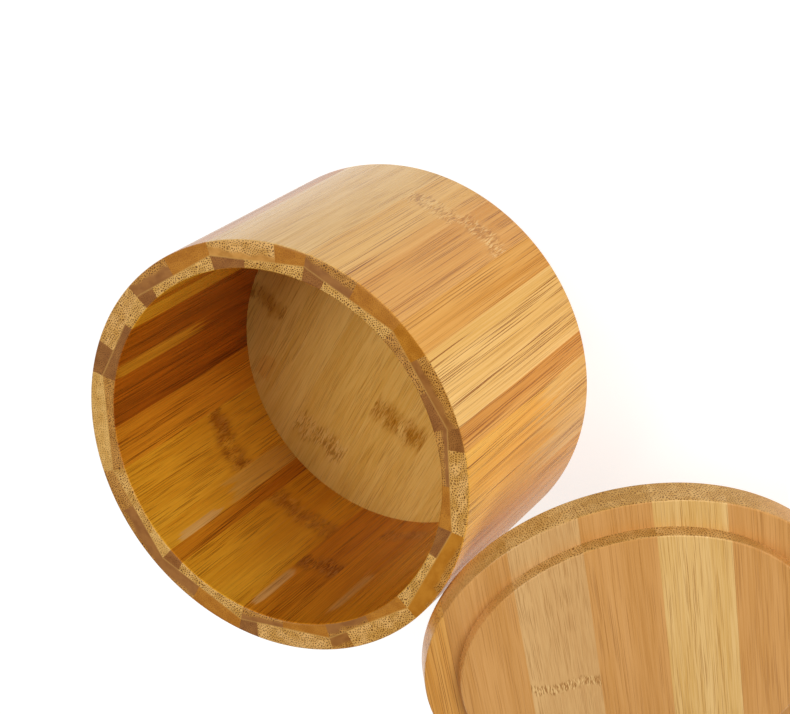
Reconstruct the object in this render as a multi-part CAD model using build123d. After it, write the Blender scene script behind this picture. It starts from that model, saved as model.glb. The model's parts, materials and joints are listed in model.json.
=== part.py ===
from build123d import *
import os
from math import asin, cos, degrees, radians, sin, tan

# Round bamboo salt box: a glued ring of mitred staves, a base disc let into its
# bore, and a loose lid with a round plug.  Millimetres, +Z up.  The origin is the
# middle of the underside and the Z axis is the axis of the box.  The lid is drawn
# as it is kept while the box is in use: turned over and leaning on the wall at +X.

# --- ring ---------------------------------------------------------------------
OUTER_RADIUS = 44.45        # turned outside of the ring
WALL_THICKNESS = 5.95
INNER_PLY_THICKNESS = 1.8   # at mid-stave, from the turned bore to the flat glue line
BODY_HEIGHT = 58.1          # underside to rim
STAVE_COUNT = 12
FIRST_MITRE_ANGLE = 18.4    # degrees from +X to the first mitre joint
EDGE_ROUND = 0.4            # easing of every turned edge

# Where the slats of each ply are edge-glued, as shares of the stave's angle.
# The boards were cut at random, so every stave shows its own joints.
OUTER_PLY_JOINTS = (0.79, 0.67, 0.49, 0.31, 0.49, 0.67, None, 0.41, 0.47, 0.20, 0.23, 0.37)
INNER_PLY_JOINTS = (0.44, 0.37, 0.79, 0.64, 0.81, 0.33, 0.54, 0.74, 0.18, 0.48, 0.52, 0.67)

# --- base disc ----------------------------------------------------------------
BASE_THICKNESS = 5.5
BASE_GRAIN_ANGLE = 91.5     # degrees from +X to the run of the slats

# --- lid ----------------------------------------------------------------------
LID_THICKNESS = 5.15        # flange that lies on the rim, as wide as the ring
PLUG_HEIGHT = 2.5           # how far the plug reaches into the bore
PLUG_CLEARANCE = 1.1        # radial room between the plug and the bore
SEAT_GAP = 0.1              # between the rim and the closed lid
LID_GRAIN_ANGLE = 54.5      # degrees from +X, seen from above with the lid closed

# Where the slats of the two boards are glued, as shares of the board's radius.
BASE_BOARD_JOINTS = (-0.772, -0.398, -0.024, 0.35, 0.724)
LID_BOARD_JOINTS = (-0.847, -0.522, -0.198, 0.127, 0.451, 0.776)

# --- lid leaning on the wall ----------------------------------------------------
LEAN_DROP = 2.2             # from the rim down to where the lid's edge meets the wall
WALL_GAP = 0.3              # between the wall and that edge

BORE_RADIUS = OUTER_RADIUS - WALL_THICKNESS
GLUE_LINE_RADIUS = BORE_RADIUS + INNER_PLY_THICKNESS
LID_RADIUS = OUTER_RADIUS
PLUG_RADIUS = BORE_RADIUS - PLUG_CLEARANCE
LID_SPAN = 2 * (LID_RADIUS - EDGE_ROUND)    # across the middles of the eased edge
LEAN_ANGLE = degrees(asin((BODY_HEIGHT - LEAN_DROP - EDGE_ROUND) / LID_SPAN))
OPEN_ANGLE = 180 + LEAN_ANGLE
STAVE_ANGLE = 360 / STAVE_COUNT
REACH = 2 * OUTER_RADIUS    # longer than any cut needs


def turned_ring():
    """The finished outside and bore of the box, before it is told apart into slats."""
    ring = Cylinder(OUTER_RADIUS, BODY_HEIGHT, align=(Align.CENTER, Align.CENTER, Align.MIN))
    ring -= Cylinder(BORE_RADIUS, BODY_HEIGHT, align=(Align.CENTER, Align.CENTER, Align.MIN))
    rim_edges = ring.edges().filter_by(GeomType.CIRCLE).group_by(Axis.Z)[-1]
    foot_edge = ring.edges().filter_by(GeomType.CIRCLE).group_by(Axis.Z)[0].sort_by(SortBy.RADIUS)[-1]
    return fillet([*rim_edges, foot_edge], EDGE_ROUND)


def stave_cell(near, far, side_a, side_b):
    """Prism between two distances from the axis and two sides of a stave along +X.

    A side is a mitre (+1 or -1) or, between them, the share of the half-width of a
    slat joint, which runs square to the glue line.
    """
    half = radians(STAVE_ANGLE / 2)
    joint_radius = (near + far) / 2

    def side_points(side):
        if abs(side) == 1:
            return (near, side * near * tan(half)), (far, side * far * tan(half))
        offset = joint_radius * sin(side * half)
        return (near, offset), (far, offset)

    (a_near, a_far), (b_near, b_far) = side_points(side_a), side_points(side_b)
    outline = make_face(Polyline(a_near, a_far, b_far, b_near, close=True))
    return extrude(outline, BODY_HEIGHT)


def stave_slats(ring, name, near, far, joint):
    """The slats of one ply of a stave whose middle is on +X, as {name: solid}."""
    sides = [-1, 1] if joint is None else [-1, 2 * joint - 1, 1]
    cells = [stave_cell(near, far, a, b) for a, b in zip(sides, sides[1:])]
    return {f"{name}_{i}": ring & cell for i, cell in enumerate(cells, start=1)}


def ring_slats():
    """Every slat of the twelve two-ply staves."""
    ring = turned_ring()
    inside = BORE_RADIUS * cos(radians(STAVE_ANGLE / 2)) - EDGE_ROUND
    outside = OUTER_RADIUS / cos(radians(STAVE_ANGLE / 2)) + EDGE_ROUND
    slats = {}
    for i, (outer_joint, inner_joint) in enumerate(zip(OUTER_PLY_JOINTS, INNER_PLY_JOINTS)):
        name = f"stave_{i + 1:02d}"
        turn = Rot(0, 0, FIRST_MITRE_ANGLE + STAVE_ANGLE * (i + 0.5))
        stave = stave_slats(ring, f"{name}_outer", GLUE_LINE_RADIUS, outside, outer_joint)
        stave |= stave_slats(ring, f"{name}_inner", inside, GLUE_LINE_RADIUS, inner_joint)
        slats |= {slat: turn * solid for slat, solid in stave.items()}
    return slats


def board_slats(board, name, radius, joints, grain_angle):
    """Cut a round board along its glue joints, which run at grain_angle."""
    edges = [-REACH, *(share * radius for share in joints), REACH]
    height = board.bounding_box().max.Z
    slats = {}
    for i, (low, high) in enumerate(zip(edges, edges[1:]), start=1):
        strip = Pos(0, (low + high) / 2, 0) * Box(2 * REACH, high - low, 2 * height)
        slats[f"{name}_{i}"] = board & Rot(0, 0, grain_angle) * strip
    return slats


def base_slats():
    """The base disc, flush with the foot of the ring."""
    disc = Cylinder(BORE_RADIUS, BASE_THICKNESS, align=(Align.CENTER, Align.CENTER, Align.MIN))
    return board_slats(disc, "base_slat", BORE_RADIUS, BASE_BOARD_JOINTS, BASE_GRAIN_ANGLE)


def closed_lid():
    """The lid on the rim: flange and plug, milled from one glued board."""
    seat = BODY_HEIGHT + SEAT_GAP
    flange = Pos(0, 0, seat) * Cylinder(
        LID_RADIUS, LID_THICKNESS, align=(Align.CENTER, Align.CENTER, Align.MIN)
    )
    plug = Pos(0, 0, seat) * Cylinder(
        PLUG_RADIUS, PLUG_HEIGHT, align=(Align.CENTER, Align.CENTER, Align.MAX)
    )
    lid = flange + plug
    circles = lid.edges().filter_by(GeomType.CIRCLE)
    turned = [e for e in circles if e.radius > PLUG_RADIUS + EDGE_ROUND]
    turned += circles.group_by(Axis.Z)[0]
    return fillet(turned, EDGE_ROUND)


def hinge_line():
    """The line along +Y about which the closed lid turns by OPEN_ANGLE to lean.

    Leaning, the eased top edge of the flange touches the table on one side and
    almost touches the wall on the other, so the middles of that edge's rounding
    give the leaning place.
    """
    lean = radians(LEAN_ANGLE)
    lean_x = OUTER_RADIUS + WALL_GAP + EDGE_ROUND + LID_SPAN / 2 * cos(lean)
    lean_z = EDGE_ROUND + LID_SPAN / 2 * sin(lean)
    closed_z = BODY_HEIGHT + SEAT_GAP + LID_THICKNESS - EDGE_ROUND
    half_cotangent = 0.5 / tan(radians(OPEN_ANGLE / 2))
    pivot_x = lean_x / 2 + (lean_z - closed_z) * half_cotangent
    pivot_z = (lean_z + closed_z) / 2 - lean_x * half_cotangent
    return Axis((pivot_x, 0, pivot_z), (0, 1, 0))


def lid_slats():
    """The lid, told apart into slats while closed and then laid against the wall."""
    slats = board_slats(closed_lid(), "lid_slat", LID_RADIUS, LID_BOARD_JOINTS, LID_GRAIN_ANGLE)
    hinge = hinge_line()
    return {name: solid.rotate(hinge, OPEN_ANGLE) for name, solid in slats.items()}


def write_parts(parts):
    os.makedirs("parts", exist_ok=True)
    for name, shape in parts.items():
        solid = shape.solids()[0]
        solid.label = name
        export_step(solid, f"parts/{name}.step")


write_parts(ring_slats() | base_slats() | lid_slats())
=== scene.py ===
"""Round bamboo salt box with a loose plug lid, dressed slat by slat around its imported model."""

import json
import logging
import random
from dataclasses import dataclass, field
from enum import Enum
from math import cos, pi, radians, sin

import bmesh
import bpy
from mathutils import Matrix, Vector


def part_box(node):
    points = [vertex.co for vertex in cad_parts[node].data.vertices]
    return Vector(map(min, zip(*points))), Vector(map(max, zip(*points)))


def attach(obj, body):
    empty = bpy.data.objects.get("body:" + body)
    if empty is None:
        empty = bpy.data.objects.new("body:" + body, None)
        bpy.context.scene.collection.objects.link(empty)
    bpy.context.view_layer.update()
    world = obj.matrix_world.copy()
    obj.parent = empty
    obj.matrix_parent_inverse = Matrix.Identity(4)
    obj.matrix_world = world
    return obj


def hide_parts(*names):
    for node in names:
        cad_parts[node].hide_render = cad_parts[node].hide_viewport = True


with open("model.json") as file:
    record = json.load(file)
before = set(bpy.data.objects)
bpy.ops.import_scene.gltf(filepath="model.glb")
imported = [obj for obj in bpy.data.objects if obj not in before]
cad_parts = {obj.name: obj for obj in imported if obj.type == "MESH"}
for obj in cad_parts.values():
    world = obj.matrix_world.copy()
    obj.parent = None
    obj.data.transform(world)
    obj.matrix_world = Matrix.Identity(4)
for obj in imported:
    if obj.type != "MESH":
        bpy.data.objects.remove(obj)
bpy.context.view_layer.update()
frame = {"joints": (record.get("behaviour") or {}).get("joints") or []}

LOG = logging.getLogger("salt_box")
MM = 0.001

Colour = tuple[float, float, float, float]
Stretch = tuple[float, float, float]    # waves per millimetre across, through and along a strip
Corners = list[tuple[float, float]]     # distance from the axis and height, in metres
Socket = bpy.types.NodeSocket


def tint(code: str) -> Colour:
    """A paint-chart colour as Blender's linear colour.

    Args:
        code: six hexadecimal digits of the colour as it looks on a screen.

    Returns:
        Red, green, blue and alpha, linear.
    """
    shares = [int(code[i : i + 2], 16) / 255 for i in (0, 2, 4)]
    red, green, blue = (s / 12.92 if s <= 0.04045 else ((s + 0.055) / 1.055) ** 2.4 for s in shares)
    return (red, green, blue, 1.0)


# --- bamboo finishes ---------------------------------------------------------------


@dataclass(frozen=True)
class Strip:
    """How one kind of bamboo strip looks, along the grain and where it is cut across."""

    pith: Colour                # between the fibres
    band: Colour                # darker streaks along the grain
    fibre: Colour               # cut fibre bundles, seen as lines
    scorch: Colour              # around a knuckle
    end_pith: Colour            # pith, band and fibre on end grain
    end_band: Colour
    end_fibre: Colour
    bundle_pitch: float         # mm between fibre bundles
    line_strength: float        # how plainly bundles show along the grain
    dot_strength: float         # and on end grain
    line_length: float = 50.0   # mm that a bundle stays on a face
    waviness: float = 0.04      # mm that the fibres wave, over a few millimetres


class Tone(Enum):
    """The strips that the boards were glued up from, by colour."""

    LIGHT = Strip(
        tint("EEC27A"), tint("D29A42"), tint("7C3A00"), tint("BC7C28"),
        tint("EAB870"), tint("C99446"), tint("562800"), 0.55, 0.92, 0.86,
    )
    GOLD = Strip(
        tint("F4B834"), tint("D28A12"), tint("844204"), tint("A25C08"),
        tint("EAB86A"), tint("C69242"), tint("562800"), 0.55, 0.74, 0.92, 20.0,
    )
    HONEY = Strip(
        tint("EEB652"), tint("D6902C"), tint("6C3000"), tint("B4721C"),
        tint("EAB86A"), tint("C69242"), tint("562800"), 0.55, 1.0, 0.86, 40.0,
    )
    ORANGE = Strip(
        tint("E4AB5C"), tint("C8842C"), tint("7E3A00"), tint("A05C14"),
        tint("BE7E28"), tint("AA6A1A"), tint("7C4008"), 0.5, 0.7, 0.4,
    )
    AMBER = Strip(
        tint("E89C24"), tint("B06008"), tint("682A00"), tint("843E04"),
        tint("A26A30"), tint("8C5624"), tint("5C2E0C"), 0.45, 0.85, 0.6, 26.0,
    )
    BROWN = Strip(
        tint("C46A0C"), tint("743002"), tint("3C1400"), tint("642C02"),
        tint("D0964A"), tint("B07830"), tint("4C2404"), 0.5, 0.85, 0.9, 26.0,
    )
    DARK = Strip(
        tint("DC9C48"), tint("B2691C"), tint("743200"), tint("824006"),
        tint("A26C34"), tint("8C5828"), tint("583010"), 0.45, 0.9, 0.65,
    )
    CREAM = Strip(
        tint("EAC280"), tint("D09E4E"), tint("965808"), tint("B07014"),
        tint("E4B66A"), tint("CE9C4E"), tint("764810"), 0.55, 0.6, 0.6, 24.0, 0.1,
    )
    SAND = Strip(
        tint("E2B678"), tint("C8965A"), tint("945E22"), tint("B47C34"),
        tint("DCB06C"), tint("C4944E"), tint("6A3C10"), 0.55, 0.45, 0.75, 12.0, 0.2,
    )
    TAN = Strip(
        tint("DAA260"), tint("C2863E"), tint("8A5016"), tint("A26A20"),
        tint("D4A660"), tint("BC8C44"), tint("663A0E"), 0.5, 0.4, 0.75, 30.0, 0.08,
    )
    PALE = Strip(
        tint("E8C06C"), tint("CE9C3C"), tint("8C540A"), tint("B47C1C"),
        tint("E4B66A"), tint("CE9C4E"), tint("764810"), 0.55, 0.5, 0.6, 12.0, 0.2,
    )


@dataclass(frozen=True)
class Knuckle:
    """A node of the culm, where the fibres break up into short wavy dashes."""

    place: float                # mm along the grain
    height: float = 2.0         # mm, half the band of waves
    dark: float = 0.7           # strength of its dark dashes
    pale: float = 0.4           # and of its pale ones
    blotch: float = 0.3         # how much darker the strip is around it


@dataclass(frozen=True)
class Patch:
    """A long patch of another tone, ragged along the grain; most are the wood's own colour, a few are
    painted highlight or painted reflection.
    """

    tone: Tone
    across: float               # mm, its middle
    along: float
    width: float                # mm, half of its sizes
    length: float
    strength: float = 0.7
    fade: float = 0.4           # share of its half-width over which its sides fade


@dataclass(frozen=True)
class Look:
    """What one strip looks like: its tones, and the knuckle and patches that show on it."""

    side: Tone
    end: Tone | None = None             # where end grain has another tone
    heart: Tone | None = None           # plain tone of the strip's inner part, on end grain
    heart_line: float = 42.2            # mm from the axis to where the heart ends
    heart_outwards: bool = False        # whether it lies beyond that line
    knuckle: Knuckle | None = None
    patches: tuple[Patch, ...] = ()


@dataclass(frozen=True)
class Grain:
    """The lie of one strip's fibres in the part."""

    axes: Matrix                # columns: across the strip, through the board, along the fibres
    origin: Vector              # metres
    seed: int
    glue_line: float | None = None      # mm through the board, where another ply is glued on


class NodeBench:
    """Short words for laying out the nodes of one material."""

    def __init__(self, name: str) -> None:
        """Start an empty material.

        Args:
            name: of the material.
        """
        self.material = bpy.data.materials.new(name)
        self.material.use_nodes = True
        self.tree = self.material.node_tree
        self.tree.nodes.clear()

    def feed(self, socket: Socket, value: object) -> None:
        """Give a socket its value.

        Args:
            socket: the input.
            value: another node's output to link into it, or what to set it to.
        """
        if isinstance(value, Socket):
            self.tree.links.new(value, socket)
        else:
            socket.default_value = value

    def add(
        self, kind: str, inputs: dict[str | int, object] | None = None, **settings: object
    ) -> bpy.types.Node:
        """Add a node.

        Args:
            kind: the node's type, without its ShaderNode prefix.
            inputs: values or sockets by input name or number.
            settings: the node's own options.

        Returns:
            The node.
        """
        node = self.tree.nodes.new("ShaderNode" + kind)
        for key, value in settings.items():
            setattr(node, key, value)
        for key, value in (inputs or {}).items():
            self.feed(node.inputs[key], value)
        return node

    def math(self, operation: str, *values: object, clamp: bool = False) -> Socket:
        """One step of arithmetic on numbers."""
        node = self.add("Math", dict(enumerate(values)), operation=operation, use_clamp=clamp)
        return node.outputs[0]

    def vector(self, operation: str, *values: object) -> Socket:
        """One step of arithmetic on vectors; a dot product gives a number."""
        node = self.add("VectorMath", dict(enumerate(values)), operation=operation)
        return node.outputs[1 if operation == "DOT_PRODUCT" else 0]

    def ease(
        self, value: object, low: float, high: float, to_low: float = 0.0, to_high: float = 1.0
    ) -> Socket:
        """A smooth step of value from low to high, giving to_low to to_high."""
        inputs = {"Value": value, "From Min": low, "From Max": high, "To Min": to_low, "To Max": to_high}
        return self.add("MapRange", inputs, interpolation_type="SMOOTHSTEP").outputs[0]

    def noise(self, place: Socket, stretch: Stretch, detail: float) -> bpy.types.Node:
        """Soft noise on place, with its grain drawn out by stretch."""
        drawn = self.vector("MULTIPLY", place, stretch)
        return self.add("TexNoise", {"Vector": drawn, "Scale": 1.0, "Detail": detail})

    def sway(self, place: Socket, stretch: Stretch, detail: float) -> Socket:
        """Soft noise that swings about zero, by a half at the most."""
        return self.math("SUBTRACT", self.noise(place, stretch, detail).outputs[0], 0.5)

    def cloud(self, place: Socket, stretch: Stretch, detail: float, *steps: float) -> Socket:
        """Soft noise whose light and dark are drawn apart by a smooth step, as steps say."""
        return self.ease(self.noise(place, stretch, detail).outputs[0], *steps)

    def blend(self, share: object, first: object, second: object) -> Socket:
        """A mix of two colours."""
        node = self.add("Mix", {0: share, 6: first, 7: second}, data_type="RGBA")
        return node.outputs[2]


@dataclass(frozen=True)
class LineSet:
    """One size of the thin lines where a long face cuts fibre bundles."""

    spread: float               # lines in a millimetre across the strip
    length: float               # share of the strip's own line length
    core: float                 # how much of its room a line takes


@dataclass(frozen=True)
class KnuckleMasks:
    """How much each point of a strip belongs to the parts of its knuckle."""

    waves: Socket               # the band of wavy dashes
    blotch: Socket              # the darker wood around it
    calm: Socket                # how far the long lines show, which is less beside the knuckle


@dataclass(frozen=True)
class Places:
    """Where each point lies in a strip: millimetres across, through and along it."""

    board: Socket               # measured in its board
    own: Socket                 # the same, shifted by the strip's own chance
    run: Socket                 # and following the fibres


@dataclass(frozen=True)
class Marks:
    """How much each point of a strip's long faces lies in the marks of its grain."""

    band: Socket                # broad and dark
    streak: Socket              # narrower and dark
    line: Socket                # where a fibre bundle is cut


@dataclass(frozen=True)
class OiledBamboo:
    """Sanded and oiled bamboo: a solid pattern of fibre bundles that run through the strip.

    Its fields are the surface, the run of the fibres, the long faces, the end grain, and
    knuckles and patches, in that order.
    """

    satin: float = 0.22             # roughness between the fibres
    streak_grip: float = 0.08       # how much rougher a dark streak is
    end_grip: float = 0.14          # and end grain
    gloss: float = 1.3              # index of refraction of the oiled surface
    pore_depth: float = 0.02        # mm
    relief: float = 0.3             # how plainly pores and streaks stand in relief
    streak_height: float = 0.3      # of a streak, beside the depth of a pore

    shift: float = 400.0            # mm, the most by which a strip's pattern is shifted
    skew: float = 0.003             # mm that fibres run sideways in each mm along the strip
    sink: float = 0.4               # mm that a bundle sinks into a face over its line's length
    drift: float = 0.3              # mm that the bundles wander
    ripple: float = 2.5             # swing of the short waves, for each mm of waviness

    line_sets: tuple[LineSet, ...] = (LineSet(3.3, 1.1, 0.32), LineSet(4.6, 0.6, 0.4))
    line_draw: float = 0.7          # waves along a line's length, which sets where it ends
    line_flatness: float = 0.3      # waves through the board for each one across
    band_stretch: Stretch = (0.17, 0.17, 0.008)
    streak_stretch: Stretch = (0.7, 0.3, 0.014)
    thread_stretch: Stretch = (4.2, 1.3, 1.3)       # its waves along are over a line's length
    cluster_stretch: Stretch = (0.35, 0.2, 0.012)
    ground_shade: float = 0.1       # how dark the wood between the lines is at the least
    band_shade: float = 0.34        # and how much each of these adds
    streak_shade: float = 0.12
    thread_shade: float = 0.32

    end_stir: float = 1.9           # mm that the rows of bundles are stirred
    row_share: float = 0.866        # distance of two rows of bundles, for each mm of their pitch
    row_turn: float = 0.3           # radians from the rows to the board
    end_stretch: Stretch = (0.35, 0.5, 0.02)
    end_cloud: float = 0.7          # how dark the clouds on end grain are
    end_uneven: float = 0.3         # and how much its uneven cut adds
    heart_wave: float = 2.2         # mm that the edge of a heart waves
    heart_fade: float = 0.45        # mm, half of the edge's width
    seam_width: float = 0.3         # mm, half the width of a glue line
    seam_strength: float = 0.4
    glue: Colour = tint("D0A054")

    knuckle_wave: float = 0.75      # mm that the bundles wander inside a knuckle
    knuckle_bow: float = 5.0        # mm that a knuckle bows over the board
    ragged_sides: float = 0.4       # how ragged a patch's sides are, for each mm of half its width
    ragged_ends: float = 1.6        # and the ends of a patch or knuckle, for each of half its length
    dash_stretch: Stretch = (4.2, 2.4, 0.36)
    fleck: Colour = tint("F0CA88")  # pale dashes in a knuckle

    def make(self, name: str, look: Look, grain: Grain) -> bpy.types.Material:
        """Build the material of one strip.

        Args:
            name: of the material.
            look: the strip's tones, knuckle and patches.
            grain: the lie of its fibres.

        Returns:
            The material.
        """
        bench = NodeBench(name)
        chance = random.Random(grain.seed)
        coordinates = bench.add("TexCoord")
        board = bench.add(
            "Mapping",
            {
                "Vector": coordinates.outputs["Object"],
                "Location": grain.origin,
                "Rotation": grain.axes.to_euler("XYZ"),
                "Scale": (MM, MM, MM),
            },
            vector_type="TEXTURE",
        ).outputs[0]
        shift = tuple(chance.uniform(-self.shift, self.shift) for _ in range(3))
        own = bench.vector("ADD", board, shift)
        masks = self.knuckle_masks(bench, board, own, look.knuckle) if look.knuckle else None
        run = self.fibre_run(bench, own, masks, look.side.value, chance)
        at = Places(board, own, run)
        marks = self.grain_marks(bench, run, masks, look.side.value)

        along = self.long_face(bench, look, at, marks)
        if masks:
            along = self.knuckle_colour(bench, look, run, masks, along)
        across, dots = self.end_colour(bench, look, grain, at)
        facing = bench.vector("DOT_PRODUCT", coordinates.outputs["Normal"], tuple(grain.axes.col[2]))
        endness = bench.ease(bench.math("ABSOLUTE", facing), 0.55, 0.92)
        colour = bench.blend(endness, along, across)
        pores = bench.math("MAXIMUM", bench.math("MULTIPLY", dots, endness), marks.line)
        surface = self.surface(bench, colour, marks.streak, endness, pores)
        bench.feed(bench.add("OutputMaterial").inputs["Surface"], surface)
        return bench.material

    def surface(
        self, bench: NodeBench, colour: Socket, streak: Socket, endness: Socket, pores: Socket
    ) -> Socket:
        """The shine and fine relief of the oiled wood.

        Args:
            bench: the material's nodes.
            colour: of the wood.
            streak: how much a point lies in a dark streak.
            endness: how much it lies on end grain.
            pores: how much it lies in a cut bundle.

        Returns:
            The shader.
        """
        rough = bench.math("MULTIPLY_ADD", streak, self.streak_grip, self.satin)
        rough = bench.math("MULTIPLY_ADD", endness, self.end_grip, rough)
        raised = bench.math("MULTIPLY", streak, self.streak_height)
        height = bench.math("MULTIPLY_ADD", pores, -1.0, raised)
        bump = bench.add(
            "Bump", {"Height": height, "Strength": self.relief, "Distance": self.pore_depth * MM}
        )
        shader = bench.add(
            "BsdfPrincipled",
            {"Base Color": colour, "Roughness": rough, "Normal": bump.outputs[0], "IOR": self.gloss},
        )
        return shader.outputs[0]

    def long_face(self, bench: NodeBench, look: Look, at: Places, marks: Marks) -> Socket:
        """The colour of a strip's long faces, with its patches and without its knuckle.

        Args:
            bench: the material's nodes.
            look: the strip's tones and patches.
            at: the strip's places.
            marks: of its grain.

        Returns:
            The colour.
        """
        colour = self.side_colour(bench, look.side.value, at.run, marks)
        for patch in look.patches:
            other = self.side_colour(bench, patch.tone.value, at.run, marks)
            colour = bench.blend(self.patch_mask(bench, at, patch), colour, other)
        return colour

    def side_colour(self, bench: NodeBench, strip: Strip, run: Socket, marks: Marks) -> Socket:
        """The colour of one kind of strip along the grain.

        Args:
            bench: the material's nodes.
            strip: the kind.
            run: places that follow the fibres.
            marks: of the grain.

        Returns:
            The colour.
        """
        across, through, along = self.thread_stretch
        thread = bench.cloud(run, (across, through, along / strip.line_length), 2.0, 0.36, 0.64)
        shade = bench.math("MULTIPLY_ADD", marks.band, self.band_shade, self.ground_shade)
        shade = bench.math("MULTIPLY_ADD", marks.streak, self.streak_shade, shade)
        shade = bench.math("MULTIPLY_ADD", thread, self.thread_shade, shade, clamp=True)
        ground = bench.blend(shade, strip.pith, strip.band)
        line = bench.math("MULTIPLY", marks.line, strip.line_strength)
        return bench.blend(line, ground, strip.fibre)

    def grain_marks(
        self, bench: NodeBench, run: Socket, masks: KnuckleMasks | None, strip: Strip
    ) -> Marks:
        """Bands, streaks, and lines that are drawn-out cells, each with a dark core.

        Args:
            bench: the material's nodes.
            run: places that follow the fibres.
            masks: the parts of the strip's knuckle, where it has one.
            strip: whose grain it is.

        Returns:
            The marks.
        """
        band = bench.cloud(run, self.band_stretch, 2.0, 0.32, 0.68)
        streak = bench.cloud(run, self.streak_stretch, 3.0, 0.36, 0.64)
        cluster = bench.cloud(run, self.cluster_stretch, 1.0, 0.34, 0.6, 0.4, 1.0)
        lines = 0.0
        for kind in self.line_sets:
            along = self.line_draw / (strip.line_length * kind.length)
            stretch = (kind.spread, self.line_flatness * kind.spread, along)
            drawn = bench.vector("MULTIPLY", run, stretch)
            away = bench.add("TexVoronoi", {"Vector": drawn, "Scale": 1.0}).outputs["Distance"]
            lines = bench.math("MAXIMUM", lines, bench.ease(away, kind.core, kind.core * 0.5))
        lines = bench.math("MULTIPLY", lines, cluster)
        if masks:
            lines = bench.math("MULTIPLY", lines, masks.calm)
        return Marks(band, streak, lines)

    def knuckle_colour(
        self, bench: NodeBench, look: Look, run: Socket, masks: KnuckleMasks, colour: Socket
    ) -> Socket:
        """A long face's colour with its knuckle: a darker blotch, dark dashes and pale ones.

        Args:
            bench: the material's nodes.
            look: the strip's tones and knuckle.
            run: places that follow the fibres.
            masks: the parts of the knuckle.
            colour: of the face without it.

        Returns:
            The colour.
        """
        side, knuckle = look.side.value, look.knuckle
        dash = bench.noise(run, self.dash_stretch, 2.0).outputs[0]
        dark = bench.math("MULTIPLY", bench.ease(dash, 0.5, 0.6, 0.0, knuckle.dark), masks.waves)
        pale = bench.math("MULTIPLY", bench.ease(dash, 0.48, 0.4, 0.0, knuckle.pale), masks.waves)
        colour = bench.blend(masks.blotch, colour, side.scorch)
        colour = bench.blend(dark, colour, side.fibre)
        return bench.blend(pale, colour, self.fleck)

    def end_colour(
        self, bench: NodeBench, look: Look, grain: Grain, at: Places
    ) -> tuple[Socket, Socket]:
        """The colour of a strip's end grain, and its bundles on their own.

        Args:
            bench: the material's nodes.
            look: the strip's tones.
            grain: the lie of its fibres.
            at: the strip's places.

        Returns:
            The colour, and how much a point lies in a bundle.
        """
        end = (look.end or look.side).value
        uneven = bench.cloud(at.own, (1.5, 1.5, 0.02), 1.0, 0.3, 0.6, 0.65, 1.0)
        dots = bench.math("MULTIPLY", self.bundle_rows(bench, at, end.bundle_pitch), uneven)
        grey = bench.cloud(at.own, self.end_stretch, 2.0, 0.32, 0.68, 0.0, self.end_cloud)
        grey = bench.math("MULTIPLY_ADD", uneven, self.end_uneven, grey, clamp=True)
        colour = bench.blend(grey, end.end_pith, end.end_band)
        colour = bench.blend(bench.math("MULTIPLY", dots, end.dot_strength), colour, end.end_fibre)
        through = bench.add("SeparateXYZ", {0: at.board}).outputs[1]
        if look.heart:
            wavy = bench.sway(at.own, (0.3, 0.3, 0.0), 1.0)
            depth = bench.math("MULTIPLY_ADD", wavy, self.heart_wave, through)
            plain = bench.blend(grey, look.heart.value.end_pith, look.heart.value.end_band)
            fade = -self.heart_fade if look.heart_outwards else self.heart_fade
            share = bench.ease(depth, look.heart_line + fade, look.heart_line - fade)
            colour = bench.blend(share, colour, plain)
        if grain.glue_line:
            away = bench.math("ABSOLUTE", bench.math("SUBTRACT", through, grain.glue_line))
            seam = bench.ease(away, self.seam_width, 0.02, 0.0, self.seam_strength)
            colour = bench.blend(bench.math("MULTIPLY", seam, uneven), colour, self.glue)
        return colour, dots

    def bundle_rows(self, bench: NodeBench, at: Places, pitch: float) -> Socket:
        """Bundles seen end on, in stirred rows: the crests where three sets of waves meet.

        Args:
            bench: the material's nodes.
            at: the strip's places.
            pitch: millimetres between bundles.

        Returns:
            How much a point lies in a bundle.
        """
        stir = bench.noise(at.own, (0.5, 0.5, 0.02), 2.0).outputs["Color"]
        packed = bench.vector("MULTIPLY_ADD", stir, (self.end_stir, self.end_stir, 0.0), at.run)
        pace = 2 * pi / (self.row_share * pitch)
        rows = 0.0
        for turn in (self.row_turn, self.row_turn + pi / 3, self.row_turn + 2 * pi / 3):
            row = bench.vector("DOT_PRODUCT", packed, (pace * cos(turn), pace * sin(turn), 0.0))
            rows = bench.math("ADD", bench.math("COSINE", row), rows)
        return bench.ease(rows, -0.5, 1.4)

    def fibre_run(
        self,
        bench: NodeBench,
        own: Socket,
        masks: KnuckleMasks | None,
        strip: Strip,
        chance: random.Random,
    ) -> Socket:
        """Places that follow the fibres, which lean, drift and wave at a knuckle.

        Args:
            bench: the material's nodes.
            own: places shifted by the strip's own chance.
            masks: the parts of the strip's knuckle, where it has one.
            strip: whose fibres they are.
            chance: where this strip's lean comes from.

        Returns:
            The places.
        """
        across, through, along = bench.add("SeparateXYZ", {0: own}).outputs
        lean = chance.choice((-1, 1)) * chance.uniform(0.7, 1.2)
        skew = self.skew * chance.choice((-1, 1))
        leaned = bench.add(
            "CombineXYZ",
            {
                0: bench.math("MULTIPLY_ADD", along, skew, across),
                1: bench.math("MULTIPLY_ADD", along, self.sink * lean / strip.line_length, through),
                2: along,
            },
        ).outputs[0]
        wander = bench.noise(own, (0.08, 0.08, 0.015), 1.0).outputs["Color"]
        run = bench.vector("MULTIPLY_ADD", wander, (self.drift, self.drift, 0.0), leaned)
        waves = bench.noise(own, (0.4, 0.4, 0.13), 1.0).outputs["Color"]
        swing = self.ripple * strip.waviness
        run = bench.vector("MULTIPLY_ADD", waves, (swing, swing, 0.0), run)
        if masks:
            stir = bench.noise(own, (0.9, 0.9, 0.5), 1.0).outputs["Color"]
            stir = bench.vector("SCALE", bench.vector("SUBTRACT", stir, (0.5, 0.5, 0.5)))
            bench.feed(stir.node.inputs["Scale"], bench.math("MULTIPLY", masks.waves, self.knuckle_wave))
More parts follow.
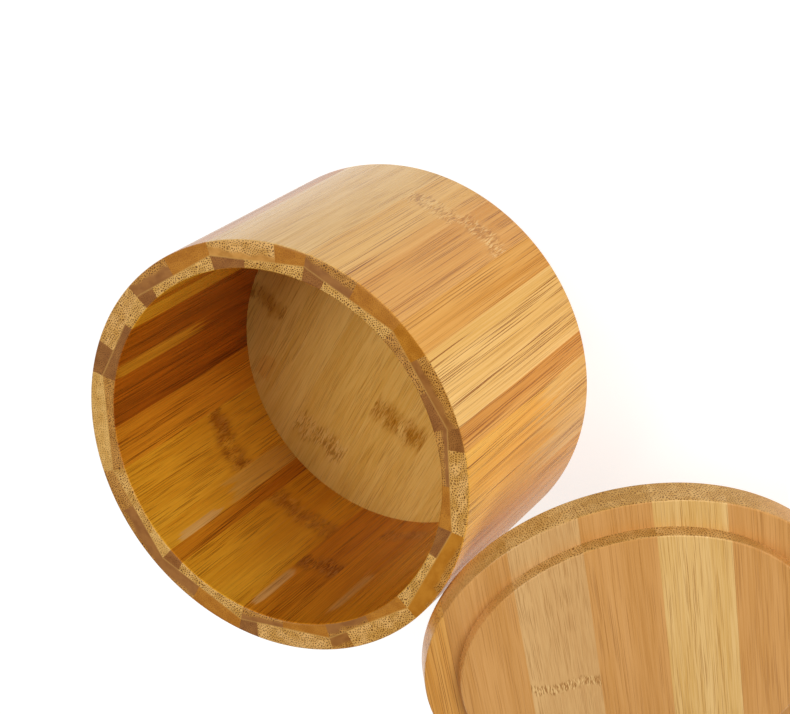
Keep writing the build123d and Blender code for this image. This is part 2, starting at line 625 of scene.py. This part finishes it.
            run = bench.vector("ADD", run, stir)
        return run

    def knuckle_masks(
        self, bench: NodeBench, board: Socket, own: Socket, knuckle: Knuckle
    ) -> KnuckleMasks:
        """Where a knuckle lies: a bowed and ragged band over the strip.

        Args:
            bench: the material's nodes.
            board: places in the board.
            own: the same, shifted by the strip's own chance.
            knuckle: its place and size.

        Returns:
            The parts of the knuckle.
        """
        along = bench.add("SeparateXYZ", {0: board}).outputs[2]
        bow = bench.sway(own, (0.2, 0.2, 0.0), 2.0)
        ragged = bench.sway(own, (1.5, 1.5, 0.1), 1.0)
        along = bench.math("MULTIPLY_ADD", bow, self.knuckle_bow, along)
        along = bench.math("MULTIPLY_ADD", ragged, self.ragged_ends * knuckle.height, along)
        away = bench.math("ABSOLUTE", bench.math("SUBTRACT", along, knuckle.place))
        uneven = bench.cloud(own, (0.35, 0.35, 0.15), 2.0, 0.3, 0.6)
        waves = bench.ease(away, knuckle.height * 1.4, knuckle.height * 0.6)
        wide = bench.ease(away, knuckle.height * 1.9, 0.0, 0.0, knuckle.blotch)
        calm = bench.ease(away, knuckle.height * 1.2, knuckle.height * 2.8, 0.3, 1.0)
        return KnuckleMasks(waves, bench.math("MULTIPLY", wide, uneven), calm)

    def patch_mask(self, bench: NodeBench, at: Places, patch: Patch) -> Socket:
        """Where a patch lies, with ragged sides and ends.

        Args:
            bench: the material's nodes.
            at: the strip's places.
            patch: its place and size.

        Returns:
            How much a point lies in it.
        """
        across, _, along = bench.add("SeparateXYZ", {0: at.board}).outputs
        ragged = bench.sway(at.own, (1.1, 1.1, 0.05), 2.0)
        sideways = bench.math("ABSOLUTE", bench.math("SUBTRACT", across, patch.across))
        lengthways = bench.math("ABSOLUTE", bench.math("SUBTRACT", along, patch.along))
        sideways = bench.math("MULTIPLY_ADD", ragged, self.ragged_sides * patch.width, sideways)
        lengthways = bench.math("MULTIPLY_ADD", ragged, self.ragged_ends * patch.length, lengthways)
        inside = bench.ease(sideways, patch.width * (1 + patch.fade), patch.width * (1 - patch.fade))
        within = bench.ease(lengthways, patch.length * 1.1, patch.length * 0.8, 0.0, patch.strength)
        return bench.math("MULTIPLY", inside, within)


# --- modelling ---------------------------------------------------------------------


EASE_STEPS = 5      # facets across an eased edge


def fill_cut(bm: bmesh.types.BMesh, cut: list[bmesh.types.BMVert | bmesh.types.BMEdge]) -> None:
    """Close the opening that a cut left.

    Args:
        bm: the piece that was cut.
        cut: the verts and edges that the cut made.
    """
    edges = [e for e in cut if isinstance(e, bmesh.types.BMEdge) and e.is_valid and e.is_boundary]
    if edges:
        bmesh.ops.holes_fill(bm, edges=edges, sides=0)


def keep_side(bm: bmesh.types.BMesh, point: Vector, normal: Vector) -> None:
    """Saw along a plane and keep the part that its normal points to, with a closed cut.

    Args:
        bm: the piece to saw.
        point: on the plane, in metres.
        normal: of the plane.
    """
    everything = bm.verts[:] + bm.edges[:] + bm.faces[:]
    cut = bmesh.ops.bisect_plane(
        bm, geom=everything, dist=1e-7, plane_co=point, plane_no=normal, clear_inner=True
    )
    fill_cut(bm, cut["geom_cut"])


def rounded_outline(corners: Corners, eased: list[int], ease: float) -> bmesh.types.BMesh:
    """A flat outline standing on the XZ plane, with some corners rounded, as edges alone.

    Args:
        corners: of the outline.
        eased: which corners are rounded.
        ease: radius of the rounding, in metres.

    Returns:
        The outline's mesh, with no face.
    """
    bm = bmesh.new()
    verts = [bm.verts.new((r, 0, z)) for r, z in corners]
    bm.faces.new(verts)
    bmesh.ops.bevel(
        bm, geom=[verts[i] for i in eased], affect="VERTICES", offset=ease,
        segments=EASE_STEPS, profile=0.5, material=-1,
    )
    bmesh.ops.delete(bm, geom=bm.faces[:], context="FACES_ONLY")
    return bm


def finish_mesh(bm: bmesh.types.BMesh, name: str, sharp: float = 32.0) -> bpy.types.Object:
    """Turn a bmesh into a piece with smooth turned faces and crisp cut edges.

    Args:
        bm: the shape, closed. It is freed.
        name: of the piece.
        sharp: degrees between two faces above which their edge stays crisp.

    Returns:
        The piece, linked to the scene.
    """
    bmesh.ops.remove_doubles(bm, verts=bm.verts[:], dist=2e-7)
    bmesh.ops.recalc_face_normals(bm, faces=bm.faces[:])
    for face in bm.faces:
        face.smooth = True
    for edge in bm.edges:
        edge.smooth = edge.is_manifold and edge.calc_face_angle(0.0) < radians(sharp)
    mesh = bpy.data.meshes.new(name)
    bm.to_mesh(mesh)
    bm.free()
    piece = bpy.data.objects.new(name, mesh)
    bpy.context.scene.collection.objects.link(piece)
    weighted = piece.modifiers.new("even_flats", "WEIGHTED_NORMAL")
    weighted.keep_sharp = True
    return piece


def hand_over(
    bm: bmesh.types.BMesh,
    node: str,
    body: str,
    look: Look,
    grain: Grain,
    finish: OiledBamboo = OiledBamboo(),
) -> None:
    """Dress a slat, put it in its node's place and report how well it fits there.

    Args:
        bm: the slat, closed and in its place. It is freed.
        node: that it replaces.
        body: that it moves with.
        look: what it looks like.
        grain: the lie of its fibres.
        finish: how it is finished.
    """
    piece = finish_mesh(bm, f"{node}_strip")
    piece.data.materials.append(finish.make(f"bamboo {node}", look, grain))
    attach(piece, body)
    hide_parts(node)
    low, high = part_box(node)
    corners = [Vector(c) for c in piece.bound_box]
    gap = max(
        max(abs(min(c[i] for c in corners) - low[i]), abs(max(c[i] for c in corners) - high[i]))
        for i in range(3)
    )
    LOG.info("%s: %d faces, %.3f mm from its node's box", piece.name, len(piece.data.polygons), gap / MM)


@dataclass
class StaveRing:
    """The turned wall: twelve mitred staves, each of an outer and an inner ply of edge-glued slats."""

    outer_radius: float = 44.45 * MM
    bore_radius: float = 38.5 * MM
    glue_line: float = 40.3 * MM        # middle of each stave's flat joint between the plies
    height: float = 58.1 * MM
    ease: float = 0.4 * MM
    first_mitre: float = 18.4           # degrees from +X
    stave_count: int = 12
    steps: int = 40                     # facets of one stave's curve
    inner_seed: int = 1000              # where seeds of inner plies start; those of outer ones at 0
    stave_seeds: int = 10               # seeds kept for each stave of a ply
    # where the slats of each stave meet, as a share of its angle; None is a stave of one slat
    outer_joints: tuple[float | None, ...] = (
        0.79, 0.67, 0.49, 0.31, 0.49, 0.67, None, 0.41, 0.47, 0.20, 0.23, 0.37,
    )
    inner_joints: tuple[float | None, ...] = (
        0.44, 0.37, 0.79, 0.64, 0.81, 0.33, 0.54, 0.74, 0.18, 0.48, 0.52, 0.67,
    )
    thirsty_staves: tuple[int, ...] = (1, 2, 11, 12)    # oil soaked into their outside: they are matt
    matt: OiledBamboo = OiledBamboo(gloss=1.14)
    # one row for each stave, with a look for each of its slats
    outer_looks: tuple[tuple[Look, ...], ...] = (
        (
            # painted reflection: the paler light tone towards the foot and the deeper honey above it
            # follow the reflected haze, which grows towards the foot
            Look(Tone.LIGHT, patches=(Patch(Tone.HONEY, 0.0, 58.0, 30.0, 38.0, 0.9),)),
            Look(Tone.ORANGE, Tone.DARK, patches=(Patch(Tone.DARK, -10.2, 32.0, 2.2, 44.0, 0.95),)),
        ),
        (Look(Tone.LIGHT, Tone.BROWN, Tone.DARK, 42.0), Look(Tone.ORANGE)),
        (
            Look(Tone.ORANGE, knuckle=Knuckle(13.5, 2.8, 0.45, 0.6, 0.1)),
            Look(
                Tone.ORANGE, Tone.BROWN, Tone.DARK, knuckle=Knuckle(15.5, 3.0, 0.5, 0.45, 0.1),
                patches=(Patch(Tone.LIGHT, -11.0, 29.0, 9.0, 60.0, 0.9),),
            ),
        ),
        (Look(Tone.CREAM, Tone.ORANGE), Look(Tone.CREAM, Tone.LIGHT, Tone.BROWN, 41.8)),
        (Look(Tone.DARK, Tone.ORANGE), Look(Tone.DARK, Tone.BROWN, Tone.DARK, 42.6)),
        (Look(Tone.LIGHT), Look(Tone.DARK)),
        (Look(Tone.LIGHT, Tone.CREAM),),
        (Look(Tone.BROWN), Look(Tone.DARK, Tone.BROWN, Tone.DARK, 43.2)),
        (Look(Tone.DARK, Tone.BROWN, Tone.DARK, 43.2), Look(Tone.ORANGE)),
        (Look(Tone.DARK), Look(Tone.LIGHT)),
        (Look(Tone.DARK, Tone.BROWN, Tone.DARK, 42.4), Look(Tone.LIGHT)),
        (
            # partly the wood's tone, partly painted shade: the deeper honey of both slats offsets
            # reflected haze on this side of the wall
            Look(Tone.HONEY, Tone.BROWN, Tone.ORANGE, 43.6),
            Look(Tone.HONEY, Tone.BROWN, Tone.ORANGE, 43.0),
        ),
    )
    inner_looks: tuple[tuple[Look, ...], ...] = (
        (
            Look(Tone.AMBER, Tone.ORANGE),
            Look(Tone.BROWN, heart=Tone.DARK, heart_line=39.3, heart_outwards=True),
        ),
        (Look(Tone.AMBER), Look(Tone.GOLD, Tone.BROWN)),
        (Look(Tone.GOLD), Look(Tone.AMBER)),
        (Look(Tone.GOLD), Look(Tone.AMBER)),
        (Look(Tone.GOLD), Look(Tone.AMBER)),
        (
            Look(Tone.GOLD),
            # painted highlight: the narrow gold patch near the top of this dark slat is a glint of light
            # in the bore, drawn as gold wood
            Look(Tone.BROWN, Tone.DARK, patches=(Patch(Tone.GOLD, -9.0, 42.0, 1.9, 17.0, 0.6),)),
        ),
        (Look(Tone.BROWN), Look(Tone.AMBER, Tone.BROWN)),
        (
            Look(Tone.GOLD, knuckle=Knuckle(23.0, 3.0, 0.6, 0.1, 0.8)),
            Look(
                Tone.GOLD, Tone.PALE,
                patches=(
                    Patch(Tone.CREAM, -9.4, 46.0, 1.2, 8.0, 0.75, 0.15),
                    Patch(Tone.PALE, -7.5, 18.0, 2.8, 14.0, 0.55),
                ),
            ),
        ),
        (Look(Tone.AMBER), Look(Tone.GOLD, knuckle=Knuckle(20.0, 3.0, 0.45, 0.15, 0.6))),
        (
            Look(
                Tone.AMBER, Tone.BROWN, Tone.DARK, 39.1, True,
                knuckle=Knuckle(33.5, 2.8, 0.75, 0.15, 0.6),
                patches=(Patch(Tone.CREAM, 9.2, 46.0, 1.2, 8.0, 0.65, 0.15),),
            ),
            Look(
                Tone.AMBER, Tone.ORANGE, knuckle=Knuckle(13.0, 2.4, 0.5, 0.2),
                patches=(Patch(Tone.CREAM, -7.7, 43.0, 1.2, 9.0, 0.5, 0.2),),
            ),
        ),
        (Look(Tone.AMBER, Tone.BROWN, Tone.DARK, 39.6), Look(Tone.AMBER, Tone.ORANGE)),
        (Look(Tone.GOLD), Look(Tone.AMBER)),
    )

    @property
    def half_angle(self) -> float:
        """Half of a stave's share of the circle, in radians."""
        return pi / self.stave_count

    def stave_wall(self) -> bmesh.types.BMesh:
        """One stave's share of the turned wall.

        Returns:
            Its mesh, with its middle on +X, closed at its mitres.
        """
        corners = [
            (self.bore_radius, 0), (self.outer_radius, 0),
            (self.outer_radius, self.height), (self.bore_radius, self.height),
        ]
        bm = rounded_outline(corners, [1, 2, 3], self.ease)
        bmesh.ops.rotate(bm, verts=bm.verts[:], matrix=Matrix.Rotation(-self.half_angle, 3, "Z"))
        bmesh.ops.spin(
            bm, geom=bm.verts[:] + bm.edges[:], cent=(0, 0, 0), axis=(0, 0, 1),
            angle=2 * self.half_angle, steps=self.steps,
        )
        bmesh.ops.holes_fill(bm, edges=bm.edges[:], sides=0)
        return bm

    def ply_slats(self, outer: bool, joint: float | None) -> list[bmesh.types.BMesh]:
        """The slats of one ply of a stave whose middle is on +X.

        Args:
            outer: whether it is the ply outside the glue line.
            joint: where its slats meet, as a share of the stave's angle, or None.

        Returns:
            One closed mesh for each slat.
        """
        if outer:
            near, far = self.glue_line, self.outer_radius / cos(self.half_angle) + self.ease
        else:
            near, far = self.bore_radius * cos(self.half_angle) - self.ease, self.glue_line
        slats = []
        for keep in (-1, 1) if joint is not None else (0,):
            bm = self.stave_wall()
            keep_side(bm, Vector((self.glue_line, 0, 0)), Vector((1 if outer else -1, 0, 0)))
            if keep:
                offset = (near + far) / 2 * sin((2 * joint - 1) * self.half_angle)
                keep_side(bm, Vector((0, offset, 0)), Vector((0, keep, 0)))
            slats.append(bm)
        return slats

    def build(self) -> None:
        """Make, dress and place every slat of the ring."""
        for ply, joints, looks in (
            ("outer", self.outer_joints, self.outer_looks),
            ("inner", self.inner_joints, self.inner_looks),
        ):
            for i, (joint, pair) in enumerate(zip(joints, looks)):
                thirsty = ply == "outer" and i + 1 in self.thirsty_staves
                finish = self.matt if thirsty else OiledBamboo()
                turn = radians(self.first_mitre) + self.half_angle * (2 * i + 1)
                across, through = (sin(turn), -cos(turn), 0), (cos(turn), sin(turn), 0)
                axes = Matrix((across, through, (0, 0, 1))).transposed()
                for j, bm in enumerate(self.ply_slats(ply == "outer", joint)):
                    bmesh.ops.rotate(bm, verts=bm.verts[:], matrix=Matrix.Rotation(turn, 3, "Z"))
                    seed = self.inner_seed * (ply == "inner") + self.stave_seeds * i + j
                    grain = Grain(axes, Vector(), seed, self.glue_line / MM)
                    hand_over(bm, f"stave_{i + 1:02d}_{ply}_{j + 1}", "box", pair[j], grain, finish)


def board_axes(grain_angle: float) -> Matrix:
    """A flat board's axes across its slats, up through it and along its fibres, as columns."""
    turn = radians(grain_angle)
    return Matrix(((-sin(turn), cos(turn), 0), (0, 0, 1), (cos(turn), sin(turn), 0))).transposed()


def saw_board(
    board: bmesh.types.BMesh, joints: list[float], grain_angle: float
) -> list[bmesh.types.BMesh]:
    """Saw a round board along its glue joints.

    Args:
        board: the whole board. It is freed.
        joints: distances of the joints from the middle, in metres.
        grain_angle: degrees from +X to the run of the slats.

    Returns:
        The slats, in the order of the joints.
    """
    across = Vector((-sin(radians(grain_angle)), cos(radians(grain_angle)), 0))
    slats = []
    for low, high in zip([None, *joints], [*joints, None]):
        slat = board.copy()
        if low is not None:
            keep_side(slat, across * low, across)
        if high is not None:
            keep_side(slat, across * high, -across)
        slats.append(slat)
    board.free()
    return slats


def turned_board(corners: Corners, eased: list[int], ease: float, steps: int) -> bmesh.types.BMesh:
    """A round board turned from an outline.

    Args:
        corners: of the outline; the first and the last are on the axis.
        eased: which corners are rounded.
        ease: radius of the rounding, in metres.
        steps: facets of the whole round.

    Returns:
        The board's mesh, closed.
    """
    bm = rounded_outline(corners, eased, ease)
    on_axis = [e for e in bm.edges if all(abs(v.co.x) < 1e-9 for v in e.verts)]
    bmesh.ops.delete(bm, geom=on_axis, context="EDGES")
    bmesh.ops.spin(
        bm, geom=bm.verts[:] + bm.edges[:], cent=(0, 0, 0), axis=(0, 0, 1),
        angle=2 * pi, steps=steps, use_merge=True,
    )
    bmesh.ops.remove_doubles(bm, verts=bm.verts[:], dist=1e-6)
    bmesh.ops.recalc_face_normals(bm, faces=bm.faces[:])
    return bm


@dataclass
class BaseDisc:
    """The base, let into the bore flush with the foot of the ring."""

    radius: float = 38.5 * MM
    thickness: float = 5.5 * MM
    grain_angle: float = 91.5           # degrees from +X to the run of the slats
    steps: int = 480                    # facets of its round edge
    first_seed: int = 500
    joints: tuple[float, ...] = (-0.772, -0.398, -0.024, 0.35, 0.724)   # shares of the radius
    looks: tuple[Look, ...] = (
        Look(Tone.PALE),
        Look(Tone.PALE),
        Look(Tone.PALE, knuckle=Knuckle(-12.2, 2.8, 0.6, 0.15, 0.9)),
        Look(Tone.PALE, knuckle=Knuckle(-28.5, 2.8, 0.6, 0.35, 0.35)),
        Look(Tone.PALE, patches=(Patch(Tone.AMBER, 26.2, -22.4, 2.2, 3.0, 0.3),)),
        Look(Tone.PALE, knuckle=Knuckle(-8.0, 2.0, 0.6, 0.0, 0.7)),
    )

    def build(self) -> None:
        """Make, dress and place the base's slats."""
        corners = [(0, 0), (self.radius, 0), (self.radius, self.thickness), (0, self.thickness)]
        board = turned_board(corners, [], 0.0, self.steps)
        joints = [share * self.radius for share in self.joints]
        slats = saw_board(board, joints, self.grain_angle)
        for i, (bm, look) in enumerate(zip(slats, self.looks), start=1):
            grain = Grain(board_axes(self.grain_angle), Vector(), self.first_seed + i)
            hand_over(bm, f"base_slat_{i}", "box", look, grain)


@dataclass
class LeaningLid:
    """The lid, turned from one board: a flange as wide as the ring and a plug for its bore."""

    radius: float = 44.45 * MM
    plug_radius: float = 37.4 * MM
    thickness: float = 5.15 * MM
    plug_height: float = 2.5 * MM
    seat: float = 58.2 * MM             # underside of the flange with the lid closed
    ease: float = 0.4 * MM
    grain_angle: float = 54.5           # degrees from +X with the lid closed
    steps: int = 360                    # facets of its round edge
    first_seed: int = 700
    joints: tuple[float, ...] = (-0.847, -0.522, -0.198, 0.127, 0.451, 0.776)   # shares of the radius
    looks: tuple[Look, ...] = (
        Look(Tone.ORANGE, Tone.SAND),
        Look(Tone.TAN),
        Look(Tone.SAND, knuckle=Knuckle(-2.0, 1.5, 0.75, 0.6, 0.3)),
        Look(Tone.TAN),
        Look(Tone.CREAM, Tone.SAND),
        Look(Tone.TAN),
        Look(Tone.SAND),
    )

    def resting(self) -> Matrix:
        """The turn that takes the closed lid to where it leans on the wall.

        Returns:
            The turn about the joint's line, as a matrix.
        """
        joint = next(j for j in frame["joints"] if j["name"] == "lid_close")
        pivot = Matrix.Translation(joint["pos_m"])
        turn = Matrix.Rotation(-radians(joint["range_deg"][1]), 4, Vector(joint["axis"]))
        return pivot @ turn @ pivot.inverted()

    def build(self) -> None:
        """Make, dress and place the lid's slats."""
        top, under = self.seat + self.thickness, self.seat - self.plug_height
        corners = [
            (0, top), (self.radius, top), (self.radius, self.seat),
            (self.plug_radius, self.seat), (self.plug_radius, under), (0, under),
        ]
        board = turned_board(corners, [1, 2, 4], self.ease, self.steps)
        rest = self.resting()
        axes = rest.to_3x3() @ board_axes(self.grain_angle)
        joints = [share * self.radius for share in self.joints]
        slats = saw_board(board, joints, self.grain_angle)
        for i, (bm, look) in enumerate(zip(slats, self.looks), start=1):
            bmesh.ops.transform(bm, matrix=rest, verts=bm.verts[:])
            grain = Grain(axes, rest @ Vector(), self.first_seed + i)
            hand_over(bm, f"lid_slat_{i}", "lid", look, grain)


# --- studio ------------------------------------------------------------------------


@dataclass(frozen=True)
class Softbox:
    """A square soft light, aimed at the box."""

    name: str
    azimuth: float              # degrees from +X
    elevation: float
    distance: float             # metres
    size: float
    brightness: float           # how white it makes a white card at the box

    def build(self, target: Vector) -> None:
        """Hang the light.

        Args:
            target: the place that it is aimed at, in metres.
        """
        light = bpy.data.lights.new(self.name, "AREA")
        light.shape, light.size = "SQUARE", self.size
        light.energy = self.brightness * pi * pi * self.distance**2
        lamp = bpy.data.objects.new(self.name, light)
        a, e = radians(self.azimuth), radians(self.elevation)
        back = Vector((cos(a) * cos(e), sin(a) * cos(e), sin(e)))
        lamp.location = target + back * self.distance
        lamp.rotation_euler = (-back).to_track_quat("-Z", "Y").to_euler()
        bpy.context.scene.collection.objects.link(lamp)


@dataclass
class Studio:
    """A pale table, soft light and the camera."""

    sky: float = 0.3                    # strength of the plain light from all round
    table_glow: float = 0.76            # and of the light that the table gives off
    table_tone: float = 0.4             # how white its surface is
    table_reach: float = 20.0           # metres from the middle to its edge
    table_gap: float = 0.05 * MM        # that keeps it clear of the foot of the ring
    target: Vector = field(default_factory=lambda: Vector((0.0, 0.0, 0.03)))    # of the lights
    softboxes: tuple[Softbox, ...] = (
        Softbox("key_softbox", 42, 28, 0.9, 0.5, 0.51),
        Softbox("top_softbox", 175, 68, 1.0, 0.5, 0.5),
    )
    # the camera's place in metres, and its own right and up
    camera_place: Vector = field(default_factory=lambda: Vector((0.083256, 0.245984, 0.372656)))
    camera_right: Vector = field(default_factory=lambda: Vector((0.763368, 0.443696, -0.469471)))
    camera_up: Vector = field(default_factory=lambda: Vector((-0.618422, 0.711938, -0.332713)))
    lens: float = 91.87                 # mm
    frame_width: float = 36.0           # mm, of the film behind the lens
    sight: tuple[float, float] = (0.01, 20.0)   # metres, the nearest and farthest that it sees

    def table(self) -> None:
        """Lay the table and light it evenly."""
        bm = bmesh.new()
        bmesh.ops.create_grid(bm, x_segments=1, y_segments=1, size=self.table_reach)
        bmesh.ops.translate(bm, verts=bm.verts[:], vec=(0, 0, -self.table_gap))
        mesh = bpy.data.meshes.new("table")
        bm.to_mesh(mesh)
        bm.free()
        table = bpy.data.objects.new("table", mesh)
        bpy.context.scene.collection.objects.link(table)
        bench = NodeBench("white card")
        shader = bench.add(
            "BsdfPrincipled",
            {
                "Base Color": (self.table_tone, self.table_tone, self.table_tone, 1),
                "Roughness": 0.9,
                "Specular IOR Level": 0.2,
                "Emission Color": (1, 1, 1, 1),
                "Emission Strength": self.table_glow,
            },
        )
        bench.feed(bench.add("OutputMaterial").inputs["Surface"], shader.outputs[0])
        mesh.materials.append(bench.material)

    def surroundings(self) -> None:
        """A plain bright room."""
        world = bpy.data.worlds.new("studio")
        world.use_nodes = True
        background = world.node_tree.nodes["Background"]
        background.inputs["Color"].default_value = (1, 1, 1, 1)
        background.inputs["Strength"].default_value = self.sky
        bpy.context.scene.world = world
        bpy.context.scene.view_settings.view_transform = "Standard"

    def camera(self) -> None:
        """Set up the camera."""
        data = bpy.data.cameras.new("camera")
        data.lens, data.sensor_width, data.sensor_fit = self.lens, self.frame_width, "HORIZONTAL"
        data.clip_start, data.clip_end = self.sight
        camera = bpy.data.objects.new("camera", data)
        back = self.camera_right.cross(self.camera_up)
        turn = Matrix((self.camera_right, self.camera_up, back)).transposed().to_4x4()
        camera.matrix_world = Matrix.Translation(self.camera_place) @ turn
        bpy.context.scene.collection.objects.link(camera)
        bpy.context.scene.camera = camera

    def build(self) -> None:
        """Set the whole studio up."""
        self.table()
        self.surroundings()
        for softbox in self.softboxes:
            softbox.build(self.target)
        self.camera()


def main() -> None:
    """Build the box, its lid and the studio around them."""
    logging.basicConfig(level=logging.INFO, format="%(name)s: %(message)s")
    for assembly in (StaveRing(), BaseDisc(), LeaningLid(), Studio()):
        assembly.build()
        LOG.info("%s is in place", type(assembly).__name__)
    bpy.context.view_layer.update()


if __name__ == "__main__":
    main()
